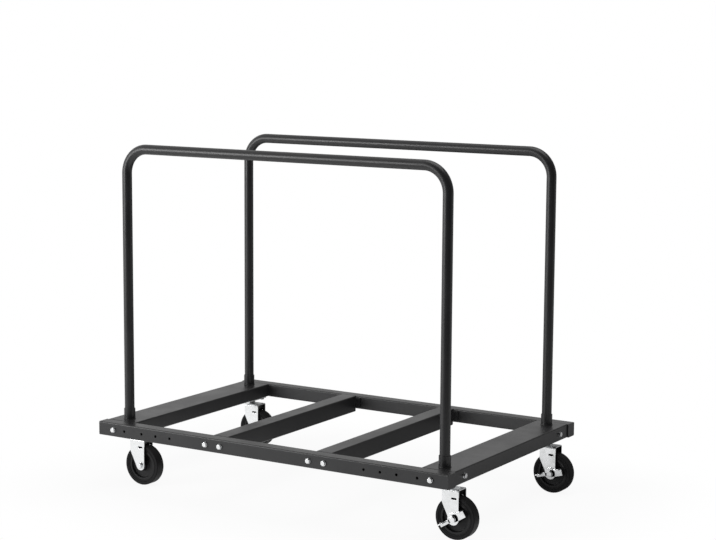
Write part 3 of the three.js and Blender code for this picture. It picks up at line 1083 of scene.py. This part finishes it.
@dataclass
class CasterPart:
    """What the parts of one swivel caster share: its corner, its joints and the sizes where they meet."""

    face: Face
    end: End
    joints: dict[str, dict]
    gap: float = 0.3 * MM
    bore_gap: float = 0.5 * MM
    kingpin: float = 6 * MM
    fork_plate: float = 4 * MM
    wheel_gap: float = 1 * MM
    lever_thickness: float = 4 * MM
    edge_round: float = 0.7 * MM
    fine_round: float = 0.6 * MM
    corner_segments: int = 6
    turned_steps: int = 48

    @property
    def corner(self) -> str:
        """The words for this caster's corner."""
        return f"{self.face.word}_{self.end.word}"

    @property
    def has_brake(self) -> bool:
        """Whether this caster has a brake lever."""
        return f"{self.corner}_brake_press" in self.joints

    @property
    def kingpin_place(self) -> Vector:
        """A point on the kingpin's axis, on the floor."""
        x, y, _ = self.joints[f"{self.corner}_swivel_turn"]["pos_m"]
        return Vector((x, y, 0.0))

    @property
    def axle_place(self) -> Vector:
        """The middle of the axle."""
        return Vector(self.joints[f"{self.corner}_wheel_roll"]["pos_m"])

    @property
    def race(self) -> float:
        """The radius of the races that the balls run between."""
        return Box.of(f"{self.corner}_swivel_bearing").size.x / 2

    @property
    def fork_half(self) -> float:
        """Half the fork's width over its legs."""
        return Box.of(f"{self.corner}_wheel_core").size.y / 2 + self.wheel_gap + self.fork_plate


@dataclass
class SwivelHead(CasterPart):
    """A caster's mounting plate, with its race and kingpin, and the swivel bearing under it."""

    plate_thickness: float = 4 * MM
    plate_corner: float = 8 * MM
    plate_hole_edge: float = 13 * MM
    race_height: float = 4.1 * MM
    race_rim: float = 1 * MM
    race_flare: float = 4 * MM
    race_shoulder: Pair = (2.6 * MM, 3.4 * MM)
    pin_head: float = 11 * MM
    pin_head_height: float = 4 * MM
    pin_chamfer: Pair = (3 * MM, 1.2 * MM)
    balls: int = 22
    ball_detail: int = 2
    ball_share: float = 0.49
    cage_share: float = 0.2
    cage_balls: Pair = (4.0, 0.8)

    def build(self) -> None:
        """Build and dress the plate and the bearing."""
        self.plate()
        self.bearing()

    def plate(self) -> None:
        """Build the mounting plate with its race, kingpin and four bolts."""
        node = f"{self.corner}_caster_plate"
        box = Box.of(node)
        bottom = box.high.z - self.plate_thickness
        race_bottom = bottom - self.race_height
        pin_bottom = box.low.z
        pin_top = pin_bottom + self.pin_head_height
        shoulder_out, shoulder_down = self.race_shoulder
        chamfer_in, chamfer_up = self.pin_chamfer
        shape = Shape()
        low = Vector((box.low.x, box.low.y, bottom))
        shape.bar(low, box.high, UP, self.plate_corner, self.corner_segments)
        shape.soften(self.edge_round, Sharp.BLOCK)
        outline = [
            (0.0, bottom + self.race_rim),
            (self.race + self.race_flare, bottom + self.race_rim),
            (self.race + self.race_flare, bottom - self.race_rim),
            (self.race + shoulder_out, bottom - shoulder_down),
            (self.race, race_bottom),
            (self.kingpin, race_bottom),
            (self.kingpin, pin_top),
            (self.pin_head, pin_top),
            (self.pin_head, pin_bottom + chamfer_up),
            (self.pin_head - chamfer_in, pin_bottom),
            (0.0, pin_bottom),
        ]
        stem = Shape()
        stem.turn(outline, Matrix.Translation(self.kingpin_place), self.turned_steps, closed=False)
        stem.soften(self.fine_round, Sharp.TURNED)
        shape.take(stem)
        reach = box.size / 2 - Vector((self.plate_hole_edge, self.plate_hole_edge, 0.0))
        for side_x, side_y in product(SIDES, SIDES):
            hole = Vector((box.middle.x + side_x * reach.x, box.middle.y + side_y * reach.y, bottom))
            PLATE_BOLT.add_head(shape, axis_place(hole, UP))
        shape.finish(node, "set", "cart", ZINC)

    def bearing(self) -> None:
        """Build the swivel bearing: a ring of balls in a cage between the races."""
        node = f"{self.corner}_swivel_bearing"
        box = Box.of(node)
        level = box.middle.z
        ball = self.ball_share * box.size.z
        cage = self.cage_share * box.size.z
        cage_inner, cage_outer = (self.race - balls * ball for balls in self.cage_balls)
        place = Matrix.Translation(self.kingpin_place)
        shape = Shape()
        shape.ring((cage_inner, cage_outer), (level - cage, level + cage), place, self.turned_steps)
        for index in range(self.balls):
            turn = Matrix.Rotation(2 * math.pi * index / self.balls, 4, "Z")
            seat = place @ turn @ Matrix.Translation((self.race - ball, 0.0, level))
            bmesh.ops.create_icosphere(shape.mesh, subdivisions=self.ball_detail, radius=ball, matrix=seat)
        shape.finish(node, "balls", f"{self.corner}_swivel", PLAIN_STEEL)


@dataclass
class Fork(CasterPart):
    """A caster's fork, with the lower race on its crown, and the axle bolt through its legs."""

    race_height: float = 3 * MM
    race_seat: float = 2 * MM
    bend: float = 7 * MM
    nose_sunk: float = 0.1 * MM
    leg_front: float = 2 * MM
    leg_straight: float = 38 * MM
    leg_end: float = 16 * MM
    leg_steps: int = 14
    slot_size: Pair = (18 * MM, 6 * MM)
    slot_rise: float = 61 * MM
    slot_round: float = 2.85 * MM
    slot_segments: int = 5
    slot_reach: float = 0.5 * MM
    # How far inside the legs' outer faces the painted shade ends
    hollow_inset: float = 2.8 * MM

    def build(self) -> None:
        """Build and dress the fork and its axle bolt."""
        self.fork()
        self.axle()

    def fork(self) -> None:
        """Build the fork: a bent channel cut to the legs' outline, with a round nose and a race on top."""
        node = f"{self.corner}_fork"
        box = Box.of(node)
        pin = self.kingpin_place
        place = Matrix.Translation(pin)
        crown_top = box.high.z - self.race_height
        crown_bottom = crown_top - self.fork_plate
        shape = Shape()
        low = Vector((pin.x + self.leg_front, pin.y - self.fork_half, box.low.z))
        self._channel(shape, low, Vector((box.high.x, pin.y + self.fork_half, crown_top)))
        self._trim(shape, Vector((low.x, pin.y, crown_bottom - self.leg_straight)))
        self._slots(shape)
        shape.soften(self.edge_round, Sharp.PLATE)
        nose = Shape()
        nose.prism(self.turned_steps, self.fork_half, crown_bottom, crown_top - self.nose_sunk, place)
        nose.soften(self.edge_round, Sharp.PLATE)
        shape.take(nose)
        dish = Shape()
        radii = (self.kingpin + self.bore_gap, self.race)
        dish.ring(radii, (crown_top - self.race_seat, box.high.z), place, self.turned_steps)
        dish.soften(self.edge_round, Sharp.TURNED)
        shape.take(dish)
        # The zinc inside the channel gets a painted shade, darker between the legs and under the crown
        inside = self.fork_half - self.hollow_inset
        hollow = Hollow(plane=abs(pin.y), half=inside, top=crown_bottom + self.gap)
        plated = replace(ZINC, name="fork_zinc_plate", hollow=hollow)
        shape.finish(node, "channel", f"{self.corner}_swivel", plated)

    def _channel(self, shape: Shape, low: Vector, high: Vector) -> None:
        """Add a channel with rounded shoulders, open below.

        Args:
            shape: the shape that it is added to.
            low: the low corner of its box.
            high: the high corner of its box.
        """
        verts = shape.block(low, high)
        mesh = shape.mesh
        under = [face for face in mesh.faces if face.normal.z < -FACING]
        ends = [face for face in mesh.faces if abs(face.normal.x) > FACING]
        bmesh.ops.delete(mesh, geom=under + ends, context="FACES_ONLY")
        top = [vert for vert in verts if vert.is_valid and vert.co.z > high.z - SAME_PLACE]
        shape.round_off(edges_along(ALONG_X, top), self.bend, self.corner_segments)
        bmesh.ops.recalc_face_normals(mesh, faces=mesh.faces)
        roof = max(mesh.faces, key=lambda one: one.calc_center_median().z)
        if roof.normal.z < 0:
            bmesh.ops.reverse_faces(mesh, faces=mesh.faces)
        bmesh.ops.solidify(mesh, geom=mesh.faces[:], thickness=self.fork_plate)

    def _trim(self, shape: Shape, front: Vector) -> None:
        """Cut the channel's legs to their outline: slanted in front and round about the axle.

        Args:
            shape: the shape that is cut.
            front: the front corner of a leg, where the slant starts.
        """
        axle = self.axle_place
        reach = Vector((front.x - axle.x, front.z - axle.z))
        touch = math.atan2(reach.y, reach.x) + math.acos(self.leg_end / reach.length)
        turn = 2 * math.pi - touch
        for step in range(self.leg_steps):
            angle = touch + turn * step / self.leg_steps
            outward = Vector((math.cos(angle), 0.0, math.sin(angle)))
            edges = shape.slice(axle + outward * self.leg_end, outward, clear=True)
            bmesh.ops.holes_fill(shape.mesh, edges=edges, sides=0)

    def _slots(self, shape: Shape) -> None:
        """Cut a short slot high in each leg.

        Args:
            shape: the shape with the legs.
        """
        length, height = self.slot_size
        half = Vector((length / 2, 0.0, height / 2))
        middle = self.axle_place + UP * self.slot_rise
        for axis, side in product((ALONG_X, UP), SIDES):
            shape.slice(middle + axis * side * half.dot(axis), axis)
        for side in SIDES:
            patches = [
                face
                for face in shape.mesh.faces
                if abs(face.normal.y) > FACING
                and (face.calc_center_median().y - middle.y) * side > 0
                and ((face.calc_center_median() - middle) * (ALONG_X + UP)).length < self.slot_reach
            ]
            border = [edge for face in patches for edge in face.edges]
            bmesh.ops.delete(shape.mesh, geom=patches, context="FACES_ONLY")
            bmesh.ops.bridge_loops(shape.mesh, edges=border)
        corners = [
            edge
            for edge in edges_along(ALONG_Y, shape.mesh.verts)
            if abs(abs(edge.verts[0].co.x - middle.x) - half.x) < SAME_PLACE
            and abs(abs(edge.verts[0].co.z - middle.z) - half.z) < SAME_PLACE
        ]
        shape.round_off(corners, self.slot_round, self.slot_segments)

    def axle(self) -> None:
        """Build the axle bolt with its washer and nut."""
        stack = self.lever_thickness + self.gap if self.has_brake else 0.0
        place = axis_place(self.axle_place - ALONG_Y * (self.fork_half + stack), ALONG_Y)
        shape = Shape()
        AXLE_BOLT.add_head(shape, place)
        AXLE_BOLT.add_nut(shape, place, 2 * self.fork_half + stack)
        shape.finish(f"{self.corner}_axle", "bolt", f"{self.corner}_swivel", ZINC)


@dataclass
class Wheel(CasterPart):
    """A caster's wheel: a solid tyre on a moulded core."""

    tyre_thickness: float = 15 * MM
    tyre_shoulder: float = 2.5 * MM
    shoulder_steps: int = 6
    tyre_steps: int = 96
    bush: float = 2.5 * MM
    bush_draft: float = 0.3 * MM
    bush_rise: float = 0.8 * MM
    hub: float = 17 * MM
    hub_chamfer: float = 2 * MM
    hub_edge: float = 3 * MM
    web: float = 6 * MM
    web_fillet: float = 2 * MM
    draft: float = 1 * MM
    rim: float = 8 * MM
    rim_sunk: float = 2.5 * MM
    core_round: float = 0.5 * MM
    core_steps: int = 72
    # The tyre's side from its bore outwards: how far beyond the bore and how far inside the widest plane
    tyre_side: Outline = (
        (0.0, 1 * MM),
        (3 * MM, 0.6 * MM),
        (3.6 * MM, 1.4 * MM),
        (4.8 * MM, 1.4 * MM),
        (5.4 * MM, 0.2 * MM),
        (8.5 * MM, 0.0),
    )

    def build(self) -> None:
        """Build and dress the tyre and the core."""
        self.tyre()
        self.core()

    def _turn(self, half: list[Pair], steps: int) -> Shape:
        """Turn a part of the wheel about the axle.

        Args:
            half: the (radius, reach) points of one side, from the bore outwards.
            steps: the number of steps in the full turn.

        Returns:
            The shape, with both sides alike.
        """
        other = [(radius, -reach) for radius, reach in half]
        shape = Shape()
        shape.turn(other + half[::-1], axis_place(self.axle_place, ALONG_Y), steps)
        return shape

    def tyre(self) -> None:
        """Build the solid tyre, with rounded shoulders and a moulded line round each side."""
        node = f"{self.corner}_tyre"
        box = Box.of(node)
        radius = box.size.z / 2
        side = box.size.y / 2
        half = [(radius - self.tyre_thickness + out, side - sunk) for out, sunk in self.tyre_side]
        for step in range(self.shoulder_steps + 1):
            angle = math.pi / 2 * (1 - step / self.shoulder_steps)
            drop = self.tyre_shoulder * (1 - math.cos(angle))
            half.append((radius - drop, side - self.tyre_shoulder * (1 - math.sin(angle))))
        shape = self._turn(half, self.tyre_steps)
        shape.finish(node, "solid", f"{self.corner}_wheel", TREAD_RUBBER)

    def core(self) -> None:
        """Build the wheel's core: rim, dished web and hub with its bush."""
        node = f"{self.corner}_wheel_core"
        box = Box.of(node)
        outer = box.size.z / 2
        inner = outer - self.rim
        side = box.size.y / 2
        hub_side = side - self.bush_rise
        rim_side = Box.of(f"{self.corner}_tyre").size.y / 2 - self.rim_sunk
        bore = AXLE_BOLT.shank / 2 + self.bore_gap
        web_start = self.hub + self.draft
        web_end = inner - self.draft
        half = [
            (bore, side),
            (bore + self.bush, side),
            (bore + self.bush + self.bush_draft, hub_side),
            (self.hub - self.hub_chamfer, hub_side),
            (self.hub, side - self.hub_edge),
            (web_start, self.web + self.web_fillet),
            (web_start + self.web_fillet, self.web),
            (web_end - self.web_fillet, self.web),
            (web_end, self.web + self.web_fillet),
            (inner, rim_side - self.draft),
            (inner + self.draft, rim_side),
            (outer, rim_side),
        ]
        shape = self._turn(half, self.core_steps)
        shape.soften(self.core_round, Sharp.MOULDED)
        shape.finish(node, "moulding", f"{self.corner}_wheel", CORE_PLASTIC)


@dataclass
class BrakeLever(CasterPart):
    """The rocking lever that locks a caster's wheel, on the casters that have one."""

    locked_tilt: float = -4.0
    boss: float = 19 * MM
    boss_sides: int = 40
    long_arm: float = 50 * MM
    long_depth: float = 11 * MM
    short_arm: float = 43 * MM
    short_depth: float = 24 * MM
    arm_corner: float = 2 * MM
    arm_segments: int = 4
    pad_length: float = 22 * MM
    pad_width: float = 16 * MM
    pad_thickness: float = 3.5 * MM
    pad_root: float = 1 * MM
    pad_corner: float = 4 * MM
    pad_segments: int = 5

    def build(self) -> None:
        """Build and dress the lever, a pressed rocker with a foot pad at each end, where there is one."""
        if not self.has_brake:
            return
        locked, _ = self.joints[f"{self.corner}_brake_press"]["range_deg"]
        tilt = math.radians(self.locked_tilt - locked)
        shape = Shape()
        axis = axis_place(Vector(), ALONG_Y)
        shape.prism(self.boss_sides, self.boss, -self.lever_thickness, 0.0, axis)
        self._arm(shape, self.short_arm, self.short_depth)
        self._arm(shape, -self.long_arm, self.long_depth)
        shape.soften(self.fine_round, Sharp.PLATE)
        start = self.axle_place - ALONG_Y * (self.fork_half + self.gap)
        place = Matrix.Translation(start) @ Matrix.Rotation(-tilt, 4, "Y")
        bmesh.ops.transform(shape.mesh, matrix=place, verts=shape.mesh.verts)
        shape.finish(f"{self.corner}_brake_lever", "rocker", f"{self.corner}_brake", ZINC)

    def _arm(self, shape: Shape, tip: float, depth: float) -> None:
        """Add an arm of the lever, with its foot pad.

        Args:
            shape: the lever, level and with its axle at the origin.
            tip: where the arm ends along X.
            depth: how deep it is.
        """
        outer = -self.lever_thickness
        start, stop = sorted((0.0, tip))
        arm = Shape()
        verts = arm.block(Vector((start, outer, -depth / 2)), Vector((stop, 0.0, depth / 2)))
        far = [vert for vert in verts if abs(vert.co.x) > SAME_PLACE]
        arm.round_off(edges_along(ALONG_Y, far), self.arm_corner, self.arm_segments)
        shape.take(arm)
        start, stop = sorted((tip - math.copysign(self.pad_length, tip), tip))
        low = Vector((start, outer - self.pad_width, depth / 2 - self.pad_thickness))
        pad = Shape()
        verts = pad.block(low, Vector((stop, outer + self.pad_root, depth / 2)))
        free = [vert for vert in verts if vert.co.y < outer - SAME_PLACE]
        pad.round_off(edges_along(UP, free), self.pad_corner, self.pad_segments)
        shape.take(pad)


@dataclass(frozen=True)
class Softbox:
    """A square lamp with a soft light."""

    name: str
    place: Triple
    target: Triple
    size: float
    power: float

    def hang(self) -> None:
        """Hang the lamp and point it at its target."""
        data = bpy.data.lights.new(self.name, "AREA")
        data.shape = "SQUARE"
        data.size = self.size
        data.energy = self.power
        aim = (Vector(self.target) - Vector(self.place)).to_track_quat("-Z", "Y")
        lamp = add_object(self.name, data)
        lamp.matrix_world = Matrix.Translation(self.place) @ aim.to_matrix().to_4x4()


KEY_LAMP = Softbox("key_lamp", place=(-3.2, -4.3, 1.6), target=(0.0, 0.0, 0.6), size=2.2, power=148.0)
TOP_LAMP = Softbox("top_lamp", place=(0.6, 0.4, 4.6), target=(0.0, 0.0, 0.4), size=3.0, power=60.0)


@dataclass
class Studio:
    """The white studio: floor, world light, lamps and the camera at the photograph's viewing angle."""

    camera_place: Triple = (3.1457, -4.9586, 1.5359)
    camera_yaw: float = 31.92
    camera_pitch: float = 7.90
    camera_roll: float = 0.35
    focal_pixels: float = 1828.5
    image_width: float = 716.0
    sensor_width: float = 36.0
    front_side: Triple = (0.527, -0.850, 0.0)
    shade_side: Triple = (0.300, 0.954, 0.0)
    right_side: Triple = (1.0, 0.0, 0.0)
    front_level: float = 0.08
    shade_level: float = 0.20
    far_level: float = 0.60
    ambient: float = 0.45
    floor_half: float = 12.0
    floor_colour: tuple[float, float, float, float] = (0.86, 0.86, 0.86, 1.0)
    floor_glow: float = 0.92
    cart_half: Pair = (0.68, 0.43)
    # Where each level starts and stops changing, over the world's directions and then over the floor
    world_front: Pair = (0.0, 0.5)
    world_right: Pair = (-1.1, 0.3)
    floor_front: Pair = (1.3, 1.9)
    floor_shade: Pair = (-0.1, 0.6)
    floor_right: Pair = (0.8, 1.3)
    shadow_edge: Pair = (0.05, 0.5)

    def build(self) -> None:
        """Set up the studio."""
        bpy.context.scene.view_settings.view_transform = "Standard"
        self.camera()
        self.world()
        self.floor()
        KEY_LAMP.hang()
        TOP_LAMP.hang()

    def camera(self) -> None:
        """Place the camera."""
        data = bpy.data.cameras.new("view_camera")
        data.sensor_fit = "HORIZONTAL"
        data.sensor_width = self.sensor_width
        data.lens = self.focal_pixels / self.image_width * self.sensor_width
        camera = add_object("view_camera", data)
        yaw = Matrix.Rotation(math.radians(self.camera_yaw), 4, "Z")
        pitch = Matrix.Rotation(math.radians(90.0 - self.camera_pitch), 4, "X")
        roll = Matrix.Rotation(math.radians(self.camera_roll), 4, "Z")
        camera.matrix_world = Matrix.Translation(self.camera_place) @ yaw @ pitch @ roll
        bpy.context.scene.camera = camera

    @staticmethod
    def rays(graph: Graph) -> tuple[Value, Value]:
        """Tell the kinds of rays apart.

        Args:
            graph: the nodes of the floor or the world.

        Returns:
            1 for rays from the camera, and 1 for rays off a gloss or through glass.
        """
        camera = graph.node("ShaderNodeLightPath", output="Is Camera Ray")
        glossy = graph.node("ShaderNodeLightPath", output="Is Glossy Ray")
        through = graph.node("ShaderNodeLightPath", output="Is Transmission Ray")
        return camera, glossy.largest(through)

    @staticmethod
    def along(graph: Graph, place: Value, side: Triple) -> Value:
        """Return how far a place or direction lies towards a side of the studio."""
        return graph.vector("DOT_PRODUCT", place, side, "Value")

    def world(self) -> None:
        """Make the world white to look at, with a dim front for reflections and a soft light elsewhere."""
        world = bpy.data.worlds.new("studio_world")
        world.use_nodes = True
        bpy.context.scene.world = world
        graph = Graph(world.node_tree)
        camera, mirrored = self.rays(graph)
        direction = graph.node("ShaderNodeTexCoord", output="Generated")
        forward = self.along(graph, direction, self.front_side)
        rightward = self.along(graph, direction, self.right_side)
        front = graph.spread(forward, 1.0, self.front_level, *self.world_front)
        right = graph.spread(rightward, 1.0, self.shade_level, *self.world_right)
        other = mirrored * (front * right) + (1.0 - mirrored) * self.ambient
        strength = camera + (1.0 - camera) * other
        light = graph.node("ShaderNodeBackground", inputs={"Color": WHITE, "Strength": strength})
        graph.node("ShaderNodeOutputWorld", inputs={"Surface": light})

    def floor(self) -> None:
        """Lay a white floor that keeps a faint shadow near the cart."""
        mesh = bmesh.new()
        bmesh.ops.create_grid(mesh, x_segments=1, y_segments=1, size=self.floor_half)
        data = bpy.data.meshes.new("studio_floor")
        mesh.to_mesh(data)
        mesh.free()
        data.materials.append(self.floor_white())
        add_object("studio_floor", data)

    def floor_white(self) -> bpy.types.Material:
        """Make the floor's white.

        Returns:
            The material, which reflections see dimmer in front and to the right.
        """
        material = bpy.data.materials.new("studio_floor_white")
        material.use_nodes = True
        graph = Graph(material.node_tree)
        camera, mirrored = self.rays(graph)
        place = graph.place()
        forward = self.along(graph, place, self.front_side)
        shaded = self.along(graph, place, self.shade_side)
        rightward = self.along(graph, place, self.right_side)
        glow = graph.spread(self._distance(graph, place), self.floor_glow, 1.0, *self.shadow_edge)
        # For reflections the floor glows at a level with painted shade: dark towards the back of the cart,
        # dim in front, and lighter again far to the right
        front = graph.spread(forward, 1.0, self.front_level, *self.floor_front)
        lit = graph.spread(shaded, 1.0, 0.0, *self.floor_shade)
        right = graph.spread(rightward, self.shade_level, self.far_level, *self.floor_right)
        level = graph.blend(mirrored, WHITE, front * lit.largest(right))
        matt = graph.node("ShaderNodeBsdfDiffuse", inputs={"Color": self.floor_colour})
        shine = graph.node("ShaderNodeEmission", inputs={"Color": level, "Strength": 1.0})
        share = (camera * glow).largest(mirrored)
        mixed = graph.node("ShaderNodeMixShader", inputs={0: share, 1: matt, 2: shine})
        graph.node("ShaderNodeOutputMaterial", inputs={"Surface": mixed})
        return material

    def _distance(self, graph: Graph, place: Value) -> Value:
        """Return how far a place on the floor lies outside the cart's own rectangle."""
        beyond = graph.vector("SUBTRACT", graph.vector("ABSOLUTE", place), (*self.cart_half, 0.0))
        return graph.vector("LENGTH", graph.vector("MAXIMUM", beyond, NOTHING), output="Value")


def main() -> None:
    """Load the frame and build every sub-assembly around it."""
    logging.basicConfig(level=logging.INFO, format="%(message)s")
    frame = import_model()
    joints = {joint["name"]: joint for joint in frame["joints"]}
    Studio().build()
    Bed().build()
    Hoops().build()
    for face, end, part in product(Face, End, (SwivelHead, Fork, Wheel, BrakeLever)):
        part(face, end, joints).build()


if __name__ == "__main__":
    main()
